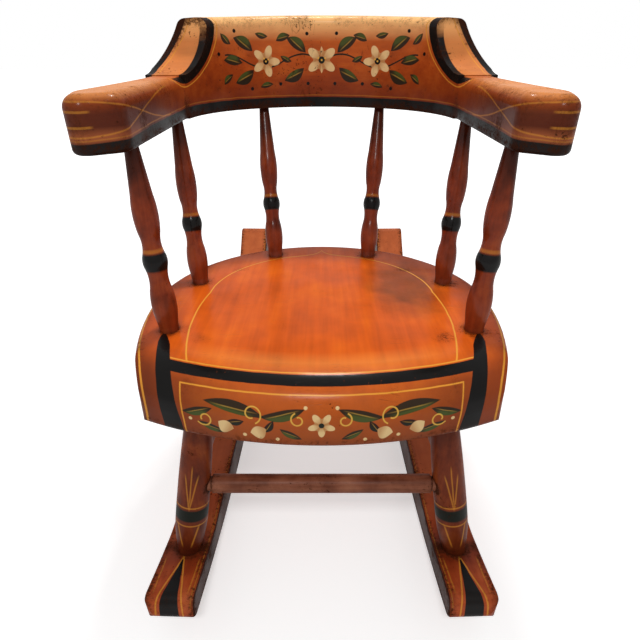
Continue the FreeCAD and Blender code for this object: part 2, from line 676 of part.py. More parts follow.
add_bevel(crest, "Lean", "crest_middle_height - crest_base", "crest_lean", on_outer_top)
add_pocket(crest, "Crown", crown_waste, "XZ_Plane")
add_rounding(crest, "TopEdges", "crest_top_round", along_crown)
add_pocket(crest, "Scoops", scoop_waste, "YZ_Plane")

# Turned pieces: each is turned about its own axis, with its height measured from its lower joint.


def turned_outline(stations):
    """Return half the section of a turned piece from its stations, which are (diameter, height, through),
    where through gives the diameter and height of a point of the curve up to the next station."""
    outline = []
    for diameter, height, through in stations:
        middle = None if through is None else (f"({through[0]}) / 2", through[1])
        outline.append((f"({diameter}) / 2", height, middle))
    first_height = stations[0][1]
    last_height = stations[-1][1]
    return [*outline, ("0", last_height, None), ("0", first_height, None)]


def between(first, second):
    """Return the middle of two formulas."""
    return f"(({first} + {second}) / 2)"


def spindle_stations(length):
    """Return the stations of a spindle of a length between seat and rail."""
    low_rise = between("spindle_foot", "spindle_swell")
    low_fall = between("spindle_swell", "spindle_low_neck")
    bead_rise = between("spindle_low_neck", "spindle_bead")
    bead_fall = between("spindle_bead", "spindle_high_neck")
    vase_rise = between("spindle_high_neck", "spindle_vase")
    vase_shoulder = f"(spindle_vase_height + ({length} - spindle_vase_height) / 3)"
    return [
        ("spindle_foot", "-spindle_seat_depth", None),
        ("spindle_foot", "spindle_swell_height / 6", None),
        (low_rise, "spindle_swell_height / 2", ("spindle_swell", "spindle_swell_height")),
        (
            low_fall,
            between("spindle_swell_height", "spindle_low_neck_height"),
            ("spindle_low_neck", "spindle_low_neck_height"),
        ),
        (
            bead_rise,
            between("spindle_low_neck_height", "spindle_bead_height"),
            ("spindle_bead", "spindle_bead_height"),
        ),
        (
            bead_fall,
            between("spindle_bead_height", "spindle_high_neck_height"),
            ("spindle_high_neck", "spindle_high_neck_height"),
        ),
        (
            vase_rise,
            between("spindle_high_neck_height", "spindle_vase_height"),
            ("spindle_vase", "spindle_vase_height"),
        ),
        (between("spindle_vase", between("spindle_vase", "spindle_top")), vase_shoulder, None),
        ("spindle_top", f"{length} - 1", None),
        ("spindle_top", f"{length} + spindle_rail_depth", None),
    ]


def distance(start, finish):
    """Return the formula of the distance between two points given by formulas."""
    squares = [f"(({second}) - ({first}))^2" for first, second in zip(start, finish)]
    return f"sqrt({' + '.join(squares)})"


RAIL_RUN = "tan(rail_slope)"
SPINDLES = {
    "front": (
        ("front_spindle_seat_side", "front_spindle_seat_back"),
        ("front_spindle_rail_side", "front_spindle_rail_back"),
    ),
    "middle": (("middle_spindle_seat_side", "0"), ("middle_spindle_rail_side", "middle_spindle_rail_back")),
    "rear": (
        ("rear_spindle_seat_side", "rear_spindle_seat_back"),
        ("rear_spindle_rail_side", "rear_spindle_rail_back"),
    ),
}
spindles = []
for place, (in_seat, in_rail) in SPINDLES.items():
    low = (*in_seat, "0")
    high = (*in_rail, f"(rail_rise + {in_rail[1]} * {RAIL_RUN})")
    for side_name, side in SIDES:
        mirror = FreeCAD.Vector(side, 1, 1)
        start = seat_frame.multVec(vector(*low).scale(*mirror))
        finish = seat_frame.multVec(vector(*high).scale(*mirror))
        spindle = new_body(f"spindle_{place}_{side_name}", along(start, finish - start))
        add_revolution(spindle, "Turning", turned_outline(spindle_stations(distance(low, high))))
        spindles.append(spindle)
        title = f"{place.capitalize()}Spindle"
        drill(
            seat_plank,
            f"{title}{side_name.capitalize()}",
            start,
            start - finish,
            "spindle_foot",
            "spindle_seat_depth",
            "spindle_foot",
        )
        drill(
            arms[side_name],
            title,
            finish,
            finish - start,
            "spindle_top",
            "spindle_rail_depth",
            "spindle_top",
        )


# Rockers: each is sawn to a sole of two arcs that meet at the lowest point. The top runs level between the
# legs and follows the sole at a constant thickness outside them. Y 0 of a rocker is its lowest point.

FRONT_TOP_RADIUS = "(rocker_front_radius - rocker_front_thickness)"
REAR_TOP_RADIUS = "(rocker_rear_radius - rocker_rear_thickness)"
FRONT_LEVEL_END = f"sqrt({FRONT_TOP_RADIUS}^2 - (rocker_front_radius - rocker_middle_height)^2)"
REAR_LEVEL_END = f"sqrt({REAR_TOP_RADIUS}^2 - (rocker_rear_radius - rocker_middle_height)^2)"
FRONT_TIP_TOP = f"(rocker_front_reach * {FRONT_TOP_RADIUS} / rocker_front_radius)"
REAR_TIP_TOP = f"(rocker_rear_reach * {REAR_TOP_RADIUS} / rocker_rear_radius)"


def on_arc(centre_height, radius, reach):
    """Return the height of a rocker's arc at a reach from the lowest point."""
    return f"({centre_height} - sqrt({radius}^2 - ({reach})^2))"


def front_sole(reach):
    """Return the point of the sole at a reach ahead of the lowest point."""
    return (f"-({reach})", on_arc("rocker_front_radius", "rocker_front_radius", reach))


def front_top(reach):
    """Return the point of the curved top at a reach ahead of the lowest point."""
    return (f"-({reach})", on_arc("rocker_front_radius", FRONT_TOP_RADIUS, reach))


def rear_sole(reach):
    """Return the point of the sole at a reach behind the lowest point."""
    return (reach, on_arc("rocker_rear_radius", "rocker_rear_radius", reach))


def rear_top(reach):
    """Return the point of the curved top at a reach behind the lowest point."""
    return (reach, on_arc("rocker_rear_radius", REAR_TOP_RADIUS, reach))


rocker_outline = [
    ("0", "0", front_sole("rocker_front_reach / 2")),
    (*front_sole("rocker_front_reach"), None),
    (*front_top(FRONT_TIP_TOP), front_top(between(FRONT_TIP_TOP, FRONT_LEVEL_END))),
    (f"-{FRONT_LEVEL_END}", "rocker_middle_height", None),
    (REAR_LEVEL_END, "rocker_middle_height", rear_top(between(REAR_TIP_TOP, REAR_LEVEL_END))),
    (*rear_top(REAR_TIP_TOP), None),
    (*rear_sole("rocker_rear_reach"), rear_sole("rocker_rear_reach / 2")),
]


def crosswise_at(*points):
    """Return a test for the edges that run across the rocker through any of the points."""
    places = [(number(y), number(z)) for y, z in points]

    def picks(edge):
        box = edge.BoundBox
        if box.YLength > 0.01 or box.ZLength > 0.01:
            return False
        return any(math.hypot(box.YMin - y, box.ZMin - z) < 0.05 for y, z in places)

    return picks


def on_face_edge(edge):
    """Tell whether an edge lies in one of the rocker's two faces."""
    half_width = number("rocker_width / 2")
    return on_plane(edge, "X", half_width) or on_plane(edge, "X", -half_width)


def outer_corner_waste(side, way, extent):
    """Return what the rounding of the outer corner takes off an end, seen from above."""
    inner_x = "rocker_width / 2 - rocker_corner_round"
    inner_y = f"{extent} - rocker_corner_round"
    reach = "rocker_corner_round * sqrt(0.5)"
    clear = "rocker_end_round"
    arc_middle = (f"{side} * ({inner_x} + {reach})", f"{way} * ({inner_y} + {reach})")
    return [
        (f"{side} * ({inner_x})", f"{way} * {extent}", arc_middle),
        (f"{side} * rocker_width / 2", f"{way} * ({inner_y})", None),
        (f"{side} * (rocker_width / 2 + {clear})", f"{way} * ({inner_y})", None),
        (f"{side} * (rocker_width / 2 + {clear})", f"{way} * ({extent} + {clear})", None),
        (f"{side} * ({inner_x})", f"{way} * ({extent} + {clear})", None),
    ]


rockers = {}
for side_name, side in SIDES:
    stance = FreeCAD.Placement(
        vector(f"{side} * rocker_half_spacing", LOW_POINT),
        FreeCAD.Rotation(UP, side * number("rocker_toe")),
    )
    rocker = new_body(f"rocker_{side_name}", stance)
    rockers[side_name] = rocker
    add_pad(rocker, "Rocker", rocker_outline, "rocker_width", plane_role="YZ_Plane", midplane=True)
    ends = crosswise_at(
        front_sole("rocker_front_reach"),
        front_top(FRONT_TIP_TOP),
        rear_top(REAR_TIP_TOP),
        rear_sole("rocker_rear_reach"),
    )
    bends = crosswise_at(
        (f"-{FRONT_LEVEL_END}", "rocker_middle_height"), (REAR_LEVEL_END, "rocker_middle_height")
    )
    add_rounding(rocker, "EndCorners", "rocker_end_round", ends)
    add_rounding(rocker, "TopBends", "rocker_bend_radius", bends)
    add_rounding(rocker, "LongEdges", "rocker_edge_round", on_face_edge)
    add_pocket(rocker, "TipCorner", outer_corner_waste(side, -1, FRONT_EXTENT), "XY_Plane")
    add_pocket(rocker, "TailCorner", outer_corner_waste(side, 1, REAR_EXTENT), "XY_Plane")

# Legs: each stands in a socket in its rocker, leans in and up to the seat, and is held by a cross pin.


def in_chair(across, back, up):
    """Return the formulas in the chair's frame of a point given in the seat's frame."""
    return (
        across,
        f"({LOW_POINT} - seat_lead + ({back}) * cos(seat_tilt) + ({up}) * sin(seat_tilt))",
        f"(seat_height - ({back}) * sin(seat_tilt) + ({up}) * cos(seat_tilt))",
    )


def on_rocker(reach, height):
    """Return the formulas in the chair's frame of a point over a rocker, where its legs stand."""
    return (
        f"(rocker_half_spacing - foot_inset + ({reach}) * sin(rocker_toe))",
        f"({LOW_POINT} - ({reach}) * cos(rocker_toe))",
        height,
    )


def rocker_top(curved_top):
    """Return the height of a rocker's top: the curved top where it stands above the level one."""
    reach, height = curved_top
    return f"max(rocker_middle_height; {height})"


def part_way(start, finish, run):
    """Return the formulas of the point at a run from start towards finish."""
    length = distance(start, finish)
    return tuple(
        f"({first} + ({second} - {first}) * ({run}) / {length})" for first, second in zip(start, finish)
    )


def placed(point, side):
    """Return a point from its formulas, on the right side or mirrored to the left."""
    x, y, z = point
    return vector(mirrored(side, x), y, z)


LEGS = {
    "front": (
        on_rocker("front_leg_foot_reach", rocker_top(front_top("front_leg_foot_reach"))),
        in_chair("front_leg_seat_side", "front_leg_seat_back", "-plank_thickness"),
    ),
    "rear": (
        on_rocker("-rear_leg_foot_reach", rocker_top(rear_top("rear_leg_foot_reach"))),
        in_chair("rear_leg_seat_side", "rear_leg_seat_back", "-plank_thickness"),
    ),
}


def leg_stations(length):
    """Return the stations of a leg of a length between rocker and seat."""
    calf = ("leg_calf", "leg_calf_height")
    shank = ("leg_shank", "leg_shank_height")
    return [
        ("leg_foot", "-leg_rocker_depth", None),
        ("leg_foot", "leg_foot / 5", None),
        ("leg_ankle", "leg_ankle_height", calf),
        ("leg_swell", "leg_swell_height", shank),
        ("leg_top", f"({length} - leg_top / 5)", None),
        ("leg_top", f"({length} + leg_seat_depth)", None),
    ]


legs = {}
pins = []
for place, (foot_formulas, seat_formulas) in LEGS.items():
    for side_name, side in SIDES:
        foot = placed(foot_formulas, side)
        top = placed(seat_formulas, side)
        upwards = unit(top - foot)
        leg = new_body(f"leg_{place}_{side_name}", along(foot, upwards))
        legs[place, side_name] = leg
        add_revolution(leg, "Turning", turned_outline(leg_stations(distance(foot_formulas, seat_formulas))))
        rocker = rockers[side_name]
        title = f"{place.capitalize()}Leg"
        drill(rocker, title, foot, -upwards, "leg_foot", "leg_rocker_depth", "leg_foot")
        drill(
            seat_plank,
            f"{title}{side_name.capitalize()}",
            top,
            upwards,
            "leg_top",
            "leg_seat_depth",
            "leg_top",
        )
        pin_middle = rocker.Placement.inverse().multVec(foot - upwards * number("pin_drop"))
        pin_middle.x = 0
        half_pin = ACROSS * number("rocker_width / 2")
        pin_start = rocker.Placement.multVec(pin_middle - half_pin)
        pin_finish = rocker.Placement.multVec(pin_middle + half_pin)
        pins.append(rod(f"Pin{title}{side_name.capitalize()}", pin_start, pin_finish, "pin_diameter"))
        for pierced in (rocker, leg):
            drill(
                pierced,
                f"{title}Pin",
                pin_start,
                pin_finish - pin_start,
                "pin_diameter",
                "rocker_width + pin_diameter",
                "pin_diameter",
            )
rocker_pins = group("rocker_pins", pins)

# Stretchers: round rods with tapered ends, each let into two legs.


def on_leg(place, height):
    """Return the formulas of the point of a right leg's axis at a height along it."""
    return part_way(*LEGS[place], height)


def opposite(point):
    """Return the formulas of a point mirrored to the left."""
    x, y, z = point
    return (f"-({x})", y, z)


def stretcher_stations(length, shoulder):
    """Return the stations of a stretcher between the axes of two legs."""
    return [
        ("stretcher_end", "stretcher_end_gap", None),
        ("stretcher_end", shoulder, None),
        ("stretcher_middle", f"{shoulder} + stretcher_taper", None),
        ("stretcher_middle", f"{length} - {shoulder} - stretcher_taper", None),
        ("stretcher_end", f"{length} - {shoulder}", None),
        ("stretcher_end", f"{length} - stretcher_end_gap", None),
    ]


front_on_leg = on_leg("front", "front_stretcher_height")
rear_on_leg = on_leg("rear", "rear_stretcher_height")
side_front = on_leg("front", "side_stretcher_front_height")
side_rear = on_leg("rear", "side_stretcher_rear_height")
STRETCHERS = {
    "front": (front_on_leg, opposite(front_on_leg), "stretcher_shoulder"),
    "rear": (rear_on_leg, opposite(rear_on_leg), "stretcher_shoulder"),
    "right": (side_front, side_rear, "side_stretcher_shoulder"),
    "left": (opposite(side_front), opposite(side_rear), "side_stretcher_shoulder"),
}
stretchers = []
for place, (start_formulas, finish_formulas, shoulder) in STRETCHERS.items():
    start = vector(*start_formulas)
    finish = vector(*finish_formulas)
    stretcher = new_body(f"stretcher_{place}", along(start, finish - start))
    length = distance(start_formulas, finish_formulas)
    add_revolution(stretcher, "Turning", turned_outline(stretcher_stations(length, shoulder)))
    stretchers.append(stretcher)
    if place in ("front", "rear"):
        start_leg, finish_leg = legs[place, "right"], legs[place, "left"]
    else:
        start_leg, finish_leg = legs["front", place], legs["rear", place]
    for leg, axis_point, outwards in (
        (start_leg, start, finish - start),
        (finish_leg, finish, start - finish),
    ):
        drill(
            leg,
            f"Stretcher{place.capitalize()}",
            axis_point + unit(outwards) * number("leg_swell / 2"),
            -outwards,
            "stretcher_end",
            "leg_swell / 2 - stretcher_end_gap",
            "leg_swell / 4",
        )

# Dowels: four between plank and roll, two across the rail's joint, and six between rail and crest.

roll_dowels = []
roll_dowel_places = ("-roll_dowel_outer", "-roll_dowel_inner", "roll_dowel_inner", "roll_dowel_outer")
for index, across in enumerate(roll_dowel_places):
    middle = vector(across, "-seam_reach", "-roll_dowel_drop")
    half_dowel = BACKWARDS * number("dowel_depth")
    start = seat_frame.multVec(middle - half_dowel)
    finish = seat_frame.multVec(middle + half_dowel)
    seam = seat_frame.multVec(middle)
    roll_dowels.append(rod(f"RollDowel{index}", start, finish, "dowel_diameter"))
    for piece, inwards in ((seat_plank, finish - start), (seat_front_roll, start - finish)):
        drill(piece, f"RollDowel{index}", seam, inwards, "dowel_diameter", "dowel_depth", "dowel_depth")
front_roll_dowels = group("front_roll_dowels", roll_dowels)

joint_dowels = []
back_middle = "(rail_back_radius + rail_back_width / 2 - rail_back_centre)"
for index, spread in enumerate(("-arm_dowel_spread / 2", "arm_dowel_spread / 2")):
    middle = vector("0", f"{back_middle} + {spread}", "rail_thickness / 2")
    half_dowel = ACROSS * number("dowel_depth")
    start = rail_frame.multVec(middle - half_dowel)
    finish = rail_frame.multVec(middle + half_dowel)
    seam = rail_frame.multVec(middle)
    joint_dowels.append(rod(f"JointDowel{index}", start, finish, "dowel_diameter"))
    for side_name, side in SIDES:
        drill(
            arms[side_name],
            f"JointDowel{index}",
            seam,
            (finish - start) * side,
            "dowel_diameter",
            "dowel_depth",
            "dowel_depth",
        )
arm_joint_dowels = group("arm_joint_dowels", joint_dowels)

upright_dowels = []
for side_name, side in SIDES:
    dowel_line = f"(rail_back_width - crest_lean) / 2 + {INNER_CORNER_RADIUS}"
    places = (
        back_arc(side, "(rail_back_radius + (rail_back_width - crest_lean) / 2)", "crest_dowel_first"),
        back_arc(side, "(rail_back_radius + (rail_back_width - crest_lean) / 2)", "crest_dowel_second"),
        corner_arc(side, INNER_CORNER_X, INNER_CORNER_Y, f"({dowel_line})", "crest_dowel_third"),
    )
    for index, (x, y) in enumerate(places):
        seam = rail_frame.multVec(vector(x, y, "rail_thickness"))
        upwards = rail_frame.Rotation.multVec(UP)
        half_dowel = upwards * number("dowel_depth")
        title = f"CrestDowel{index}{side_name.capitalize()}"
        upright_dowels.append(rod(title, seam - half_dowel, seam + half_dowel, "dowel_diameter"))
        drill(arms[side_name], title, seam, -upwards, "dowel_diameter", "dowel_depth", "dowel_depth")
        drill(crest, title, seam, upwards, "dowel_diameter", "dowel_depth", "dowel_depth")
crest_dowels = group("crest_dowels", upright_dowels)

# Checks, then one file for each piece

doc.recompute()
for item in doc.Objects:
    if "Invalid" in item.State or "Error" in item.State:
        raise RuntimeError(f"{item.Label} failed: {item.State}")

pieces = [
    seat_plank,
    seat_front_roll,
    front_roll_dowels,
    *arms.values(),
    arm_joint_dowels,
    crest,
    crest_dowels,
    *spindles,
    *legs.values(),
    *stretchers,
    *rockers.values(),
    rocker_pins,
]
os.makedirs("parts", exist_ok=True)
for piece in pieces:
    shape = piece.Shape
    if shape.isNull() or not shape.isValid() or not shape.Solids:
        raise RuntimeError(f"{piece.Label} has no valid solid")
    shape.exportStep(f"parts/{piece.Label}.step")
    print(f"{piece.Label}: {len(shape.Solids)} solid, {shape.Volume / 1000:.1f} cubic centimetres")
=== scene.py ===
"""The looks of a child's painted rocking chair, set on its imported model."""

from math import radians

import bpy
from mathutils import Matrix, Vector

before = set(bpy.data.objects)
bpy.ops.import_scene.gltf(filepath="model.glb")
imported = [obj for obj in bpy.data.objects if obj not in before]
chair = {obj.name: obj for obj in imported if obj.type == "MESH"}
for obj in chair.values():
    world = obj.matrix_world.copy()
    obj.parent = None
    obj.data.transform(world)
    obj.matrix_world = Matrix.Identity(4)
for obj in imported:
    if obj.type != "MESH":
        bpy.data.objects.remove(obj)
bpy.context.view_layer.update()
bpy.ops.object.select_all(action="DESELECT")

# Seat: a thick plank of soft wood with a rolled front piece glued and dowelled to it. Both are painted orange
# as one, lined in ochre, with a black stripe over the roll, a black spear at each side and a brushed spray on
# the front. The paint is measured in millimetres, in the seat's own frame.


def srgb(red, green, blue):
    """Return a paint's colour, given as it is read off a screen."""
    return (*[((part / 255 + 0.055) / 1.055) ** 2.4 for part in (red, green, blue)], 1)


class Gauge:
    """A number that a paint reads at each place on the wood, such as a height in millimetres."""

    def __init__(self, socket):
        self.socket = socket

    def __add__(self, other):
        return reckon("ADD", self, other)

    def __radd__(self, other):
        return reckon("ADD", other, self)

    def __sub__(self, other):
        return reckon("SUBTRACT", self, other)

    def __rsub__(self, other):
        return reckon("SUBTRACT", other, self)

    def __mul__(self, other):
        return reckon("MULTIPLY", self, other)

    def __rmul__(self, other):
        return reckon("MULTIPLY", other, self)

    def __truediv__(self, other):
        return reckon("DIVIDE", self, other)

    def __abs__(self):
        return reckon("ABSOLUTE", self)


def reckon(operation, *values, clamp=False):
    """Return the gauge that an operation makes of gauges and plain numbers."""
    tree = next(value.socket.id_data for value in values if isinstance(value, Gauge))
    node = tree.nodes.new("ShaderNodeMath")
    node.operation = operation
    node.use_clamp = clamp
    for inlet, value in zip(node.inputs, values):
        if isinstance(value, Gauge):
            tree.links.new(value.socket, inlet)
        else:
            inlet.default_value = value
    return Gauge(node.outputs[0])


def smaller(first, second):
    """Return the smaller of two gauges."""
    return reckon("MINIMUM", first, second)


def larger(first, second):
    """Return the larger of two gauges."""
    return reckon("MAXIMUM", first, second)


def below(first, second):
    """Return 1 where the first is below the second, and 0 elsewhere."""
    return reckon("LESS_THAN", first, second)


def choose(when, yes, no):
    """Return yes where when is 1, and no where it is 0."""
    return no + when * (yes - no)


def wave(value):
    """Return the sine of a gauge."""
    return reckon("SINE", value)


def pair(across, up):
    """Return the socket of a flat place made of two gauges."""
    tree = across.socket.id_data
    node = tree.nodes.new("ShaderNodeCombineXYZ")
    tree.links.new(across.socket, node.inputs[0])
    tree.links.new(up.socket, node.inputs[1])
    return node.outputs[0]


def far(across, up):
    """Return the distance from the point where both gauges are 0."""
    tree = across.socket.id_data
    length = tree.nodes.new("ShaderNodeVectorMath")
    length.operation = "LENGTH"
    tree.links.new(pair(across, up), length.inputs[0])
    return Gauge(length.outputs["Value"])


def angle(across, up):
    """Return the angle from the up direction towards across, in radians."""
    return reckon("ARCTAN2", across, up)


def inside(distance, soft=0.5):
    """Return a mask that covers where a distance is below 0, with a soft edge this many millimetres wide."""
    return reckon("MULTIPLY_ADD", distance, -1 / soft, 0.5, clamp=True)


def line(distance, width, soft=0.5):
    """Return the mask of a brushed line where a distance is 0."""
    return inside(abs(distance) - width / 2, soft)


MILLIMETRE = 0.001
# How often a hand-drawn line wavers in a millimetre of its way
WAVER = 0.06
SPOT_SIZE = 3.2
PATCH_SIZE = 34
CORNER_REACH = 14
SHADE_SAMPLES = 4
RELIEF = 0.25 * MILLIMETRE


class OldPaint:
    """A coat of old paint: a ground colour, what is painted over it, then wear, grime and old varnish."""

    def __init__(self, name, origin=(0, 0, 0), turn=(0, 0, 0), wobble=0.9):
        self.material = bpy.data.materials.new(name)
        self.material.use_nodes = True
        self.tree = self.material.node_tree
        self.shader = self.tree.nodes["Principled BSDF"]
        wood = self.new("ShaderNodeTexCoord").outputs["Object"]
        self.place = self.mapped(wood, origin, turn, (MILLIMETRE,) * 3)
        hand = self.new("ShaderNodeTexNoise")
        hand.inputs["Scale"].default_value = WAVER
        hand.inputs["Detail"].default_value = 1
        self.link(self.place, hand.inputs["Vector"])
        shaken = self.stretched(hand.outputs["Color"], (wobble,) * 3, self.place)
        self.x, self.y, self.z = (part - wobble / 2 for part in self.parts(shaken))
        self.side = abs(self.x)
        self.colour = None

    def new(self, kind):
        """Add a node of a kind."""
        return self.tree.nodes.new(kind)

    def link(self, outlet, inlet):
        """Join an outlet to an inlet."""
        self.tree.links.new(outlet, inlet)

    def mapped(self, place, origin, turn, scale):
        """Return a place as seen from an origin, turned and scaled."""
        node = self.new("ShaderNodeMapping")
        node.vector_type = "TEXTURE"
        node.inputs["Location"].default_value = origin
        node.inputs["Rotation"].default_value = turn
        node.inputs["Scale"].default_value = scale
        self.link(place, node.inputs["Vector"])
        return node.outputs["Vector"]

    def parts(self, place):
        """Return the three gauges of a place."""
        node = self.new("ShaderNodeSeparateXYZ")
        self.link(place, node.inputs["Vector"])
        return [Gauge(outlet) for outlet in node.outputs]

    def stretched(self, place, scale, start):
        """Return a place times a scale, from a start. The start is a socket or a plain triple."""
        node = self.new("ShaderNodeVectorMath")
        node.operation = "MULTIPLY_ADD"
        self.link(place, node.inputs[0])
        node.inputs[1].default_value = scale
        if isinstance(start, tuple):
            node.inputs[2].default_value = start
        else:
            self.link(start, node.inputs[2])
        return node.outputs["Vector"]

    def noise(self, size, detail=2.0, rough=0.5, shift=0.0):
        """Return a mottling from 0 to 1, with patches of a size in millimetres along X, Y and Z."""
        node = self.new("ShaderNodeTexNoise")
        node.inputs["Scale"].default_value = 1
        node.inputs["Detail"].default_value = detail
        node.inputs["Roughness"].default_value = rough
        steps = tuple(1 / side for side in size)
        placed = self.stretched(self.place, steps, (shift,) * 3)
        self.link(placed, node.inputs["Vector"])
        return Gauge(node.outputs["Fac"])

    def lay(self, mask, colour):
        """Brush a colour over what is there, where the mask covers."""
        mix = self.new("ShaderNodeMix")
        mix.data_type = "RGBA"
        self.link((mask * self.cover).socket, mix.inputs["Factor"])
        self.link(self.colour, mix.inputs[6])
        mix.inputs[7].default_value = colour
        self.colour = mix.outputs[2]

    def ground(self, colours, size, grain):
        """Lay the ground: colours mottled in patches of a size, with fine streaks along the grain."""
        ramp = self.new("ShaderNodeValToRGB")
        while len(ramp.color_ramp.elements) < len(colours):
            ramp.color_ramp.elements.new(0.5)
        first, reach = 0.34, 0.32
        for step, (element, colour) in enumerate(zip(ramp.color_ramp.elements, colours)):
            element.position = first + reach * step / (len(colours) - 1)
            element.color = srgb(*colour)
        mottle = self.noise((size, size, size), detail=3, rough=0.6)
        self.streak = self.noise(grain, detail=3, rough=0.6, shift=3.7)
        tone = mottle * 0.62 + self.streak * 0.38
        self.link(tone.socket, ramp.inputs["Fac"])
        self.colour = ramp.outputs["Color"]
        self.spots = self.noise((SPOT_SIZE,) * 3, detail=3, rough=0.7, shift=9.1)
        # What is painted over the ground lets a little of it through.
        self.cover = reckon("MULTIPLY_ADD", self.spots * 0.6 + self.streak * 0.4, -5.5, 4.6, clamp=True)

    def leaf(self, plane, at, turn, size, bend):
        """Return the mask of a brushed leaf, with how far along and across it a place is, from -1 to 1."""
        local = self.mapped(plane, (*at, 0), (0, 0, radians(turn)), (size[0] / 2, size[1] / 2, 1))
        along, across, _ = self.parts(local)
        curve = along * along
        outline = abs(across + curve * bend - bend / 2) + curve - 1
        return inside(outline * (size[1] / 2)), along, across

    def brush_leaf(self, plane, at, turn, size, bend, dark, light):
        """Paint a leaf in one loaded stroke: dark, with a lighter side and a thin pale streak."""
        mask, along, across = self.leaf(plane, at, turn, size, bend)
        self.lay(mask * 0.95, dark)
        self.lay(mask * inside(0.15 - across, 0.5) * inside(abs(along - 0.1) - 0.62, 0.4) * 0.85, light)
        streak = line(across - along * 0.25, 0.16, 0.14) * inside(abs(along) - 0.55, 0.5)
        self.lay(mask * streak * 0.45, YELLOW)

    def rosette(self, plane, at, turn, radius, petals, colour, shade, heart):
        """Paint an open flower with round petals, shaded towards its heart."""
        local = self.mapped(plane, (*at, 0), (0, 0, radians(turn)), (radius, radius, 1))
        across, up, _ = self.parts(local)
        reach = far(across, up)
        petal = reckon("COSINE", angle(across, up) * petals)
        mask = inside((reach - 0.74 - petal * 0.24) * radius)
        self.lay(mask * 0.95, colour)
        self.lay(mask * inside(petal + 0.35, 0.6) * 0.7, shade)
        self.lay(mask * inside(reach - 0.42, 0.35) * 0.6, shade)
        self.lay(inside((reach - 0.2) * radius), heart)

    def scroll(self, plane, at, turn, radius, width, colour):
        """Paint a thin line that winds once outwards."""
        local = self.mapped(plane, (*at, 0), (0, 0, radians(turn)), (1, 1, 1))
        across, up, _ = self.parts(local)
        spread = angle(across, up) * (0.09 * radius) + radius * 0.62
        self.lay(line(far(across, up) - spread, width) * 0.9, colour)

    def dots(self, plane, places, radius, colour):
        """Paint small round dots."""
        nearest = None
        across, up, _ = self.parts(plane)
        for at in places:
            here = far(across - at[0], up - at[1])
            nearest = here if nearest is None else smaller(nearest, here)
        self.lay(inside(nearest - radius), colour)

    def edges(self, reach):
        """Return how near a place is to an outer edge, where hands rub, from 0 to 1."""
        shade = self.new("ShaderNodeAmbientOcclusion")
        shade.samples = SHADE_SAMPLES
        shade.inside = True
        shade.only_local = True
        shade.inputs["Distance"].default_value = reach * MILLIMETRE
        return reckon("MULTIPLY_ADD", Gauge(shade.outputs["AO"]), -2.2, 2.15, clamp=True)

    def corners(self, reach):
        """Return how deep in a corner a place is, where grime gathers and shade is painted, from 0 to 1."""
        shade = self.new("ShaderNodeAmbientOcclusion")
        shade.samples = SHADE_SAMPLES
        shade.inputs["Distance"].default_value = reach * MILLIMETRE
        return reckon("MULTIPLY_ADD", Gauge(shade.outputs["AO"]), -1.5, 1.2, clamp=True)

    def finish(self, nodes, reach=11, sheltered=None, chips=0.5, varnish=0.08, gloss=0.2):
        """Wear the paint at its edges, darken its corners with grime and painted shade, scratch it, and
        varnish it thinly.
        """
        patches = self.noise((PATCH_SIZE,) * 3, detail=2, shift=5.3)
        edge = self.edges(reach)
        if sheltered is not None:
            edge = edge * sheltered
        # Paint goes where an edge, a spot and a patch fall together, and flecks of it go from flat faces.
        worn = inside(0.78 - chips * 0.06 - edge * 0.5 - self.spots * 0.6 - patches * 0.3, 0.06)
        flecks = inside(1.06 - chips * 0.16 - self.spots - patches * 0.42, 0.03)
        hairs = self.noise((60, 2.0, 60), detail=1, shift=1.9)
        scratches = inside(abs(hairs - 0.5) - 0.004, 0.006) * inside(0.56 - patches, 0.04)
        self.cover = 1
        self.lay(edge * 0.4, GRIME_AND_SHADE)
        self.lay(worn * 0.85, RUBBED)
        self.lay(flecks * 0.8, RUBBED)
        self.lay(scratches * 0.35, RUBBED)
        # Grime and painted shade in the corners
        self.lay(self.corners(CORNER_REACH) * 0.75, GRIME_AND_SHADE)
        self.link(self.colour, self.shader.inputs["Base Color"])
        dull = worn * 0.3 + flecks * 0.3 + self.spots * 0.2 + patches * 0.3 + 0.2
        self.link(dull.socket, self.shader.inputs["Roughness"])
        self.shader.inputs["Specular IOR Level"].default_value = 0.04
        # The varnish is thin, and gone where the paint is.
        kept = (1.5 - worn - flecks - scratches * 0.5 - patches) * varnish
        self.link(kept.socket, self.shader.inputs["Coat Weight"])
        self.shader.inputs["Coat IOR"].default_value = 1.8
        self.shader.inputs["Coat Roughness"].default_value = gloss
        height = self.streak * 0.5 - worn * 0.8 - flecks * 1.2 - scratches * 0.6 + self.spots * 0.25
        bump = self.new("ShaderNodeBump")
        bump.inputs["Strength"].default_value = 0.5
        bump.inputs["Distance"].default_value = RELIEF
        self.link(height.socket, bump.inputs["Height"])
        self.link(bump.outputs["Normal"], self.shader.inputs["Normal"])
        self.link(bump.outputs["Normal"], self.shader.inputs["Coat Normal"])
        for node in nodes:
            chair[node].data.materials.clear()
            chair[node].data.materials.append(self.material)


# The paints, with the wood and dirt that show through them, and the grime and painted shade of corners
GRIME_AND_SHADE = srgb(44, 18, 8)
RUBBED = srgb(56, 28, 15)
OCHRE = srgb(226, 150, 52)
BLACK = srgb(10, 8, 7)
CREAM = srgb(232, 198, 140)
TAN = srgb(176, 112, 56)
YELLOW = srgb(228, 176, 74)
GREEN = srgb(74, 84, 36)
DARK_GREEN = srgb(24, 30, 20)

SEAT_ORIGIN = (0, -0.066656, 0.2615)
SEAT_TILT = (radians(-5), 0, 0)
SEAT_HALF_WIDTH = 173
SEAT_SIDE_RADIUS = 375
SEAT_WIDE_LINE = 45
BOW_CENTRE = 161
ROLL_START = 334
ROLL_ROUND = 36
# How much longer the way over the roll is than its drop
ROLL_GAIN = 20.5
SEAM = 162
FINE_LINE = 1.3

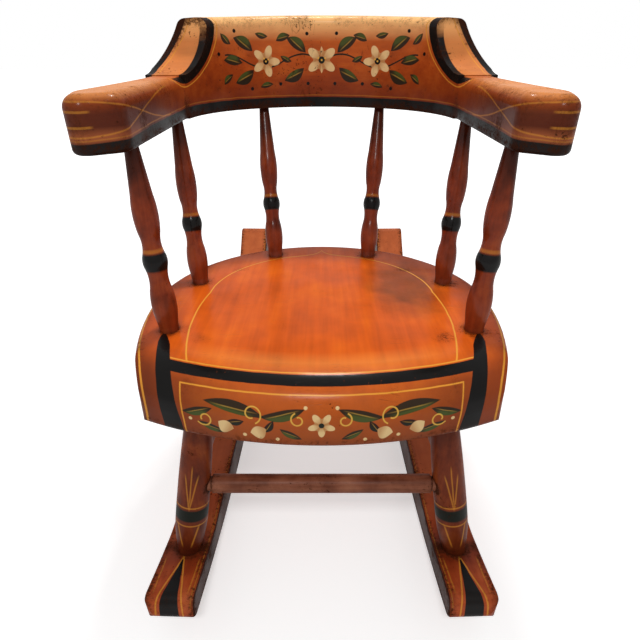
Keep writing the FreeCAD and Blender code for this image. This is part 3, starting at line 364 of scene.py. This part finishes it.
seat = OldPaint("seat paint", SEAT_ORIGIN, SEAT_TILT)
seat.ground([(184, 74, 16), (210, 88, 18), (228, 106, 22)], 75, (9, 170, 9))
side = seat.side
# How far a place is forward over the roll and down its front, from where the rolling starts
bow = far(seat.x, seat.y - BOW_CENTRE)
over = angle(bow - ROLL_START, seat.z + ROLL_ROUND) * ROLL_ROUND
on_front = choose(below(seat.z, -ROLL_ROUND), ROLL_GAIN - seat.z, over)
down = choose(below(bow, ROLL_START), bow - ROLL_START, on_front)
# How far a place is in from the rim
widest = seat.y + SEAT_WIDE_LINE
rim_at_side = SEAT_SIDE_RADIUS - far(side + (SEAT_SIDE_RADIUS - SEAT_HALF_WIDTH), widest)
rim = choose(below(seat.y, -SEAT_WIDE_LINE), rim_at_side, SEAT_HALF_WIDTH - far(seat.x, widest))
# Tan over the roll and browner down the front, a painted highlight along the roll, the rim darker, and
# painted shade at the front's two ends and on the left side
TAN_ROLL = srgb(168, 88, 36)
BROWN_FRONT = srgb(112, 52, 24)
ROLL_HIGHLIGHT = srgb(250, 172, 90)
SHADE_AT_FRONT_ENDS = srgb(104, 42, 18)
RED_RIM = srgb(146, 54, 16)
SHADE_ON_LEFT_SIDE = srgb(84, 34, 14)
seat.lay(inside(14 - down, 34) * 0.55, TAN_ROLL)
seat.lay(inside(56 - down, 34) * 0.7, BROWN_FRONT)
# Painted highlight along the roll
seat.lay(line(down + 3, 10, 24) * inside(side - 96, 70) * 0.4, ROLL_HIGHLIGHT)
# Painted shade at the two ends of the front
seat.lay(inside(78 - side, 60) * inside(20 - down, 14) * 0.6, SHADE_AT_FRONT_ENDS)
seat.lay(inside(rim - 20, 42) * 0.5, RED_RIM)
# Painted shade on the left end of the front
seat.lay(inside(seat.x + 132, 20) * inside(8 - down, 26) * 0.6, SHADE_ON_LEFT_SIDE)
# A soft darker patch, behind on one side
DARK_PATCH_PLACE = (92, -4)
DARK_PATCH_SIZE = (36, 66)
DARK_PATCH = srgb(116, 54, 16)
across = (seat.x - DARK_PATCH_PLACE[0]) / DARK_PATCH_SIZE[0]
dark_patch = far(across, (seat.y - DARK_PATCH_PLACE[1]) / DARK_PATCH_SIZE[1]) * 30 - 30
blotch = seat.noise((20, 20, 20), detail=3, shift=2.2)
seat.lay(inside(dark_patch + blotch * 14 - 8, 24) * (1.0 - blotch * 0.4), DARK_PATCH)
# The ochre arch, with a small point at its back, and the ochre line round the rim
ARCH_BACK_RADIUS = 118.8
ARCH_SIDE_RADIUS = 302
lifted = seat.y - 18 * reckon("EXPONENT", side * -0.14)
arch_side = far(side + 179.2, seat.y + 78) - ARCH_SIDE_RADIUS
arch = choose(below(seat.y, -30), arch_side, far(seat.x, lifted + 30) - ARCH_BACK_RADIUS)
seat.lay(line(arch, 1.5) * inside(down - 9), OCHRE)
seat.lay(line(rim - 3.4, 1.6) * inside(seat.y + 30, 20), OCHRE)
# The black stripe over the roll, with an ochre line behind it, and the spears at its ends
STRIPE_MIDDLE = 16.4
STRIPE_WIDTH = 10.2
seat.lay(line(down - 9.5, FINE_LINE) * inside(side - 130), OCHRE)
seat.lay(line(down - STRIPE_MIDDLE, STRIPE_WIDTH) * inside(side - 128), BLACK)
spear_middle = 135 - down * 0.3 + larger(down, 0) * larger(down, 0) * 0.0012
spear_half = smaller(reckon("SQRT", larger(down + 20, 0)) * 1.6, 6.2 + down * 0.035)
seat.lay(inside(abs(side - spear_middle) - spear_half), BLACK)
# The ochre frame of the front panel
PANEL_TOP = 28.5
PANEL_HALF_WIDTH = 112.5
panel_side = side - PANEL_HALF_WIDTH + (down - 31) * 0.08
seat.lay(line(down - PANEL_TOP, FINE_LINE) * inside(panel_side), OCHRE)
seat.lay(line(panel_side, FINE_LINE) * inside(28 - down), OCHRE)
# The spray on the front: long leaves from a rosette, buds and curls between them
front = pair(side, down)
for at, turn, size, bend in (
    ((30, 44), 12, (36, 9), 0.5),
    ((68, 42), -10, (50, 10), -0.5),
    ((98, 48), 14, (26, 7), 0.4),
    ((24, 61), -28, (19, 6), 0.3),
    ((86, 61), -18, (24, 6), 0.3),
):
    seat.brush_leaf(front, at, turn, size, bend, DARK_GREEN, GREEN)
for at, turn in (((46, 58), 20), ((72, 56), -24)):
    seat.brush_leaf(front, (at[0] - 5, at[1] - 3), turn + 30, (14, 6), 0.4, BLACK, DARK_GREEN)
    bud, along, _ = seat.leaf(front, (at[0] + 3, at[1] + 2), turn, (13, 12), 0.3)
    seat.lay(bud * 0.95, CREAM)
    seat.lay(bud * inside(along + 0.2, 0.8) * 0.6, TAN)
seat.scroll(front, (54, 45), 200, 9, 1.2, YELLOW)
seat.scroll(front, (18, 48), 20, 6.5, 1.2, YELLOW)
seat.scroll(front, (92, 54), 120, 7.5, 1.2, YELLOW)
seat.rosette(front, (0, 52), 0, 11, 5, CREAM, TAN, DARK_GREEN)
seat.dots(front, [(34, 66), (60, 64), (104, 56), (12, 38)], 1.5, CREAM)
off_joint = inside(13 - abs(seat.y + SEAM), 6)
seat.finish(["seat_plank", "seat_front_roll"], sheltered=off_joint, gloss=0.17)

# Dowels: short pins of pale hardwood between the plank and the roll, across the arms' joint and under the
# crest. They are glued into drilled holes and never painted.
bare = OldPaint("bare wood")
bare.ground([(160, 120, 80), (190, 150, 100)], 30, (5, 5, 60))
bare.finish(["front_roll_dowels", "arm_joint_dowels", "crest_dowels"])

# Arm rail and crest: two arms sawn from thick plank and butted at the back, with the sawn crest dowelled and
# glued on top. Their faces darken from orange to red-brown in painted shade, with black lower edges,
# black-lined scoops and a painted garland.
RAIL_ORIGIN = (0, -0.0521784, 0.426968)
RAIL_SLOPE = (radians(-1.73), 0, 0)
RAIL_PAINTS = (
    ("arm paint", ["arm_left", "arm_right"]),
    ("crest paint", ["crest"]),
)
RAIL_TOP = 40
BACK_CENTRE = -26
BACK_RADIUS = 165
BACK_TURN = radians(30)
CORNER_RADIUS = 110
CORNER_SIDE = 27.5
CORNER_BACK = 21.63
HALF_GAP = 137.5
# The length along the inner face where the straight arms pass the rail's origin, and the length that is added
# to a corner's own arc to carry on from the back's
STRAIGHT_START = 223.2
CORNER_START = 28.8
SCOOP_BACK = 36
SCOOP_HEIGHT = 87.8
CREST_BASE = 46
CREST_RISE = 50
CREST_LEAN = 21
OUTER_HALF_WIDTH = 176
OUTER_CENTRE = (35, 34.6)
PAINTED_TOP_SHEEN = srgb(255, 196, 128)
PAINTED_SCOOP_HIGHLIGHT = srgb(250, 176, 104)
PAINTED_ARM_TOP_HIGHLIGHT = srgb(232, 154, 74)
PAINTED_SHADE_FACE = srgb(84, 26, 10)
PAINTED_SHADE_ARM = srgb(62, 20, 8)
PAINTED_LIGHT_TOP = srgb(206, 112, 48)
PALE_ARM_EDGE = srgb(182, 100, 58)
CRACK = srgb(40, 16, 8)
STROKE_HEIGHT = 24
LOWER_BAND = 11.2
for name, nodes in RAIL_PAINTS:
    rail = OldPaint(name, RAIL_ORIGIN, RAIL_SLOPE)
    side = rail.side
    rail.ground([(148, 58, 20), (178, 78, 26), (204, 100, 36)], 60, (70, 8, 8))
    # How far a place is along the inner face from the middle, and how deep it is in the wood
    back_far = far(rail.x, rail.y - BACK_CENTRE)
    back_turn = angle(side, rail.y - BACK_CENTRE)
    corner_far = far(side - CORNER_SIDE, rail.y - CORNER_BACK)
    corner_turn = angle(side - CORNER_SIDE, rail.y - CORNER_BACK)
    at_back = below(back_turn, BACK_TURN)
    at_side = below(rail.y, CORNER_BACK)
    side_depth = choose(at_side, side - HALF_GAP, corner_far - CORNER_RADIUS)
    depth = choose(at_back, back_far - BACK_RADIUS, side_depth)
    straight = STRAIGHT_START - rail.y + (side - HALF_GAP) * 0.553
    curved = corner_turn * CORNER_RADIUS + CORNER_START
    along = choose(at_back, back_turn * BACK_RADIUS, choose(at_side, straight, curved))
    face = inside(depth - 6, 0.6)
    # How far a place is from the middle of the scoop's round, and in from the outer side
    scoop = far(rail.y - SCOOP_BACK, rail.z - SCOOP_HEIGHT)
    lean = reckon("MULTIPLY_ADD", rail.z, 1 / CREST_RISE, -CREST_BASE / CREST_RISE, clamp=True) * CREST_LEAN
    ahead = OUTER_CENTRE[1] - rail.y
    outer_back = (OUTER_HALF_WIDTH - OUTER_CENTRE[0]) - lean - far(side - OUTER_CENTRE[0], ahead)
    outer = choose(below(0, ahead), OUTER_HALF_WIDTH + ahead * 0.048 - side, outer_back)
    # Painted shade low, painted light and sheen high, painted highlights in scoops and on arm tops; paler low
    # on arm ends
    rail.lay(inside(rail.z - 26, 52) * 0.9, PAINTED_SHADE_FACE)
    # Painted shade on the arms' faces
    rail.lay(inside(rail.z - 33, 12) * inside(250 - along, 120) * 0.8, PAINTED_SHADE_ARM)
    rail.lay(inside(68 - rail.z, 40) * 0.5, PAINTED_LIGHT_TOP)
    # Painted sheen high on the crest
    rail.lay(inside(79 - rail.z, 18) * (0.55 + rail.streak * 0.7), PAINTED_TOP_SHEEN)
    # Painted highlight in the scoops
    rail.lay(inside(scoop - 47, 3) * 0.5, PAINTED_SCOOP_HIGHLIGHT)
    # Painted highlight along the arms' tops
    rail.lay(inside(38 - rail.z, 7) * inside(230 - along, 90) * 0.7, PAINTED_ARM_TOP_HIGHLIGHT)
    rail.lay(line(rail.z - 12, 8, 6) * inside(340 - along, 60) * 0.6, PALE_ARM_EDGE)
    # The crossing strokes and dashes on the arms' ends, and the black lower edge, thinner towards the ends
    thinned = larger(along - 300, 0) * 0.032
    swing = wave((along - 322) * 0.0218) * 11.5
    stroke = inside(along - 396, 4) * inside(250 - along, 8) * inside(depth - 60)
    for bent in (rail.z - STROKE_HEIGHT - swing, rail.z - STROKE_HEIGHT + swing):
        rail.lay(line(bent, 1.0, 0.9) * stroke * 0.45, OCHRE)
    dash_height = abs(abs(rail.z - STROKE_HEIGHT) - 5)
    rail.lay(line(dash_height, 1.6) * line(along - 389, 11, 3) * 0.4, OCHRE)
    rail.lay(line(rail.z - LOWER_BAND - 2 + thinned, 1.0) * inside(depth - 60) * 0.25, OCHRE)
    rail.lay(inside(rail.z - LOWER_BAND + thinned, 0.8), BLACK)
    # A short crack up from the arms' joint
    if "crest" in nodes:
        rail.lay(line(rail.x, 1.0, 0.4) * inside(rail.z - 52, 6) * face, CRACK)
    # The garland, on the front face only: a vine with a rosette in the middle and one at each side
    face_plane = pair(along, rail.z)
    all_round = rail.cover
    rail.cover = all_round * face
    vine = rail.z - 50 - wave(along * 0.07) * 7
    rail.lay(line(vine, 1.7) * inside(along - 116), DARK_GREEN)
    for at, turn, size, bend in (
        ((29, 67), 34, (27, 12), 0.4),
        ((32, 35), -30, (27, 12), -0.4),
        ((45, 74), -20, (17, 8), 0.3),
        ((42, 52), 24, (14, 6), -0.3),
        ((92, 68), 30, (26, 12), 0.4),
        ((92, 34), -28, (27, 12), -0.4),
        ((106, 51), 8, (24, 10), 0.3),
        ((114, 72), 40, (16, 7), -0.3),
        ((114, 33), -40, (16, 7), 0.3),
        ((70, 76), 10, (15, 6), -0.3),
        ((66, 25), -12, (16, 6), 0.3),
    ):
        rail.brush_leaf(face_plane, at, turn, size, bend, DARK_GREEN, GREEN)
    rail.rosette(face_plane, (0, 51), 90, 19, 5, CREAM, TAN, DARK_GREEN)
    rail.rosette(face_plane, (66, 50), 20, 17, 5, CREAM, TAN, BLACK)
    rail.dots(face_plane, [(17, 78), (102, 80), (49, 26), (124, 58), (16, 26), (84, 22)], 1.9, BLACK)
    rail.dots(face_plane, [(0, 51), (66, 50), (4, 53), (63, 52), (68, 53)], 1.0, YELLOW)
    rail.cover = all_round
    # The black bands that line the scooped ends, with an ochre line inside
    rail.lay(line(scoop - 50.4, 8.6) * face * inside(28 - rail.z, 4), BLACK)
    rail.lay(line(scoop - 57.5, 1.1) * face * inside(28 - rail.z, 4) * 0.8, OCHRE)
    rail.lay(line(outer - 10.5, 1.1) * inside(scoop - 50) * inside(34 - rail.z) * 0.7, OCHRE)
    trail = smaller(6.5, (rail.y + 70) * 0.075)
    rail.lay(inside(outer - trail) * inside(scoop - 54) * inside(31 - rail.z), BLACK)
    off_crest_joint = larger(inside(13 - abs(rail.z - RAIL_TOP), 6), inside(rail.y - 24, 8))
    off_joints = inside(12 - side, 6) * off_crest_joint
    rail.finish(nodes, sheltered=off_joints, chips=1.0, varnish=0.07, gloss=0.16)

# Spindles: six, turned from hardwood and glued into drilled sockets in the seat and the rail. They are
# red-brown, with a black bead, a gold ring over it and a dark top end.
BEAD_HEIGHT = 65
BEAD_BAND = 15.5
RED_MIDDLE = srgb(160, 70, 30)
DARK_TOP = srgb(44, 18, 10)
SPINDLES = {
    "front": ((139, -112, 0), (150, -102.8, 160.2)),
    "middle": ((136, 0, 0), (149, 30.9, 167.9)),
    "rear": ((59.5, 90, 0), (70.6, 137.8, 174)),
}
for name, (foot, top) in SPINDLES.items():
    spindle = OldPaint(f"{name} spindle paint", SEAT_ORIGIN, SEAT_TILT, 0.5)
    spindle.ground([(88, 32, 14), (124, 48, 22), (150, 66, 30)], 26, (5, 5, 80))
    axis = (Vector(top) - Vector(foot)).normalized()
    height = (spindle.side - foot[0]) * axis.x + (spindle.y - foot[1]) * axis.y + spindle.z * axis.z
    spindle.lay(inside(12 - height, 30) * inside(height - 30, 20) * 0.4, RED_MIDDLE)
    spindle.lay(inside(135 - height, 40) * 0.75, DARK_TOP)
    spindle.lay(line(height - BEAD_HEIGHT - 10, 3, 1.6) * 0.3, OCHRE)
    spindle.lay(line(height - BEAD_HEIGHT, BEAD_BAND, 2), BLACK)
    spindle.finish([f"spindle_{name}_{hand}" for hand in ("left", "right")], reach=3, varnish=0.1, gloss=0.16)

# Front legs: turned from hardwood, splayed, and glued into the seat and the rockers. They are worn browner
# than the seat, with a black-green band between ochre rings, and ochre strokes over and under it.
FRONT_FOOT = Vector((139.6, -248.8, 27.8))
FRONT_TOP = Vector((105.3, -191, 261.8))
LEG_BAND_HEIGHT = 69
LEG_BAND = 13
LEG_RINGS = ((78.5, 0.55), (57.5, 0.5))
BLACK_GREEN = srgb(14, 18, 10)
SHADE_AT_ANKLE = srgb(58, 14, 8)
leg = OldPaint("front leg paint", wobble=0.6)
leg.ground([(78, 28, 12), (112, 46, 20), (142, 68, 30)], 34, (7, 7, 80))
axis = (FRONT_TOP - FRONT_FOOT).normalized()
ahead = (leg.y - FRONT_FOOT.y) * axis.y
height = (leg.side - FRONT_FOOT.x) * axis.x + ahead + (leg.z - FRONT_FOOT.z) * axis.z
centre = FRONT_FOOT.x + height * axis.x
across = (leg.side - centre) * 1.02
front = below(leg.y - FRONT_FOOT.y - height * axis.y, 2)
# Painted shade low on the leg, round the ankle
leg.lay(inside(height - 34, 50) * 0.85, SHADE_AT_ANKLE)
leg.lay(line(height - LEG_BAND_HEIGHT, LEG_BAND, 2), BLACK_GREEN)
for ring_height, strength in LEG_RINGS:
    leg.lay(line(height - ring_height, 1.4, 1) * strength, OCHRE)
flame = abs(across) - (height - 76) * 0.16
leg.lay(line(flame, 1.3, 0.8) * front * inside(abs(height - 96) - 18, 6) * 0.45, OCHRE)
leg.lay(line(across, 1.2, 0.8) * front * inside(abs(height - 104) - 20, 6) * 0.45, OCHRE)
spread = abs(across) - 10.5 + (58 - height) * 0.22
leg.lay(line(spread, 1.5, 0.8) * front * inside(abs(height - 44) - 13, 6) * 0.5, OCHRE)
leg.finish(["leg_front_left", "leg_front_right"], reach=5, chips=0.9, gloss=0.28)

# Rear legs: turned as the front ones, and glued into the seat and the rockers in the same way. The seat hides
# them, so they are left plain brown.
plain = OldPaint("rear leg paint", wobble=0.6)
plain.ground([(74, 26, 12), (108, 44, 20), (136, 64, 28)], 34, (7, 7, 80))
plain.finish(["leg_rear_left", "leg_rear_right"], reach=5, chips=0.9, gloss=0.3)

# Stretchers: four plain turned rods with thinner ends, glued into sockets drilled in the legs. They are
# rubbed dull by feet.
rods = OldPaint("stretcher paint")
rods.ground([(98, 52, 34), (132, 78, 56), (156, 100, 74)], 30, (60, 5, 5))
stretchers = [node for node in chair if node.startswith("stretcher")]
rods.finish(stretchers, reach=4, chips=1.0, varnish=0.08, gloss=0.34)

# Rockers: two, sawn from plank to their curve and pinned through the feet of the legs. They are red-orange,
# darkened and worn, and near black inside. Each tip has a black spear lined in ochre.
LOW_POINT = (0, -0.050656, 0)
TOE = radians(1.7)
ROCKER_SIDE = 133.3
FRONT_RADIUS = 1020
REAR_RADIUS = 480
SPEAR_END = -206
PALE_TAIL = srgb(196, 108, 62)
SHADE_AT_LEG_FOOT = srgb(86, 20, 8)
NEAR_BLACK = srgb(16, 8, 5)
rocker = OldPaint("rocker paint", LOW_POINT)
rocker.ground([(134, 48, 20), (176, 76, 36), (202, 104, 54)], 52, (9, 120, 9))
# How far a place is back along its rocker, out across it, and up from its sole
along = rocker.y - (rocker.side - ROCKER_SIDE) * TOE
across = rocker.side - ROCKER_SIDE + rocker.y * TOE
front_height = FRONT_RADIUS - far(along, rocker.z - FRONT_RADIUS)
rear_height = REAR_RADIUS - far(along, rocker.z - REAR_RADIUS)
up = choose(below(along, 0), front_height, rear_height)
rocker.lay(inside(-130 - along, 60) * 0.5, PALE_TAIL)
# Painted shade on the rocker round the leg's foot
rocker.lay(line(along + 200, 44, 24) * 0.55, SHADE_AT_LEG_FOOT)
rocker.lay(inside(across + 22.2, 0.6) * 0.9, NEAR_BLACK)
tip = SPEAR_END - along
rocker.lay(line(abs(across) - tip * 0.24, 1.6) * inside(0 - tip) * 0.7, OCHRE)
rocker.lay(inside(abs(across) - tip * 0.17) * inside(4 - tip), BLACK)
rocker.lay(line(abs(across) - 17 + tip * 0.02, 1.5) * inside(abs(tip - 22) - 18, 8) * 0.4, OCHRE)
rocker.lay(line(across + 20.2, 1.1) * inside(16 - up, 4) * 0.5, OCHRE)
rocker.finish(["rocker_left", "rocker_right", "rocker_pins"], reach=9, chips=1.0, varnish=0.08, gloss=0.26)

# Floor and backdrop: plain and white to the camera, with the chair's soft shadow. The room's own light on the
# chair is weaker than the white that is seen.


def seen_rays(tree):
    """Return the gauge of the rays that show the backdrop: the camera's, and those of gloss and glass."""
    rays = tree.nodes.new("ShaderNodeLightPath")
    seen = larger(Gauge(rays.outputs["Is Camera Ray"]), Gauge(rays.outputs["Is Glossy Ray"]))
    return larger(seen, Gauge(rays.outputs["Is Transmission Ray"]))


FLOOR_SIZE = 12
bpy.ops.mesh.primitive_plane_add(size=FLOOR_SIZE, location=(0, 0, 0))
floor = bpy.context.object
floor.name = "floor"
white = bpy.data.materials.new("floor white")
white.use_nodes = True
white_shader = white.node_tree.nodes["Principled BSDF"]
white_shader.inputs["Base Color"].default_value = (0.8, 0.8, 0.8, 1)
white_shader.inputs["Roughness"].default_value = 0.9
white_shader.inputs["Specular IOR Level"].default_value = 0
white_shader.inputs["Emission Color"].default_value = (1, 1, 1, 1)
ground_place = white.node_tree.nodes.new("ShaderNodeTexCoord").outputs["Object"]
away = white.node_tree.nodes.new("ShaderNodeVectorMath")
away.operation = "LENGTH"
white.node_tree.links.new(ground_place, away.inputs[0])
spread = reckon("MULTIPLY_ADD", Gauge(away.outputs["Value"]), 0.9, -0.35, clamp=True)
floor_glow = seen_rays(white.node_tree) * (spread * 0.5 + 0.5)
white.node_tree.links.new(floor_glow.socket, white_shader.inputs["Emission Strength"])
floor.data.materials.append(white)

world = bpy.data.worlds.new("studio")
bpy.context.scene.world = world
world.use_nodes = True
ROOM_LIGHT = 0.42
backdrop = world.node_tree.nodes["Background"]
backdrop.inputs["Color"].default_value = (1, 1, 1, 1)
room = seen_rays(world.node_tree) * (1 - ROOM_LIGHT) + ROOM_LIGHT
world.node_tree.links.new(room.socket, backdrop.inputs["Strength"])


def add_softbox(name, place, target, width, height, power):
    """Hang a lamp with a soft box at a place, turned to its target."""
    lamp = bpy.data.lights.new(name, "AREA")
    lamp.shape = "RECTANGLE"
    lamp.size = width
    lamp.size_y = height
    lamp.energy = power
    stand = bpy.data.objects.new(name, lamp)
    bpy.context.scene.collection.objects.link(stand)
    stand.location = place
    stand.rotation_euler = (Vector(target) - Vector(place)).to_track_quat("-Z", "Y").to_euler()


# Lamps: one overhead and a little behind, and a weaker one in front
add_softbox("overhead lamp", (0.05, 0.4, 1.5), (0, -0.1, 0.25), 0.22, 0.12, 9.5)
add_softbox("front lamp", (-0.05, -0.9, 1.2), (0, 0, 0.3), 0.3, 0.16, 5)

# Camera: level with the top of the crest and close in front, looking down. It is shifted a little, to frame
# the chair as the photograph does.
camera_data = bpy.data.cameras.new("camera")
camera = bpy.data.objects.new("camera", camera_data)
bpy.context.scene.collection.objects.link(camera)
camera.location = (0, -0.5451, 0.5128)
camera.rotation_euler = (radians(59.05), 0, 0)
camera_data.lens = 27
camera_data.sensor_width = 36
camera_data.shift_x = -0.0025
camera_data.shift_y = -0.0172
camera_data.clip_start = 0.01
bpy.context.scene.camera = camera
bpy.context.scene.view_settings.view_transform = "Standard"
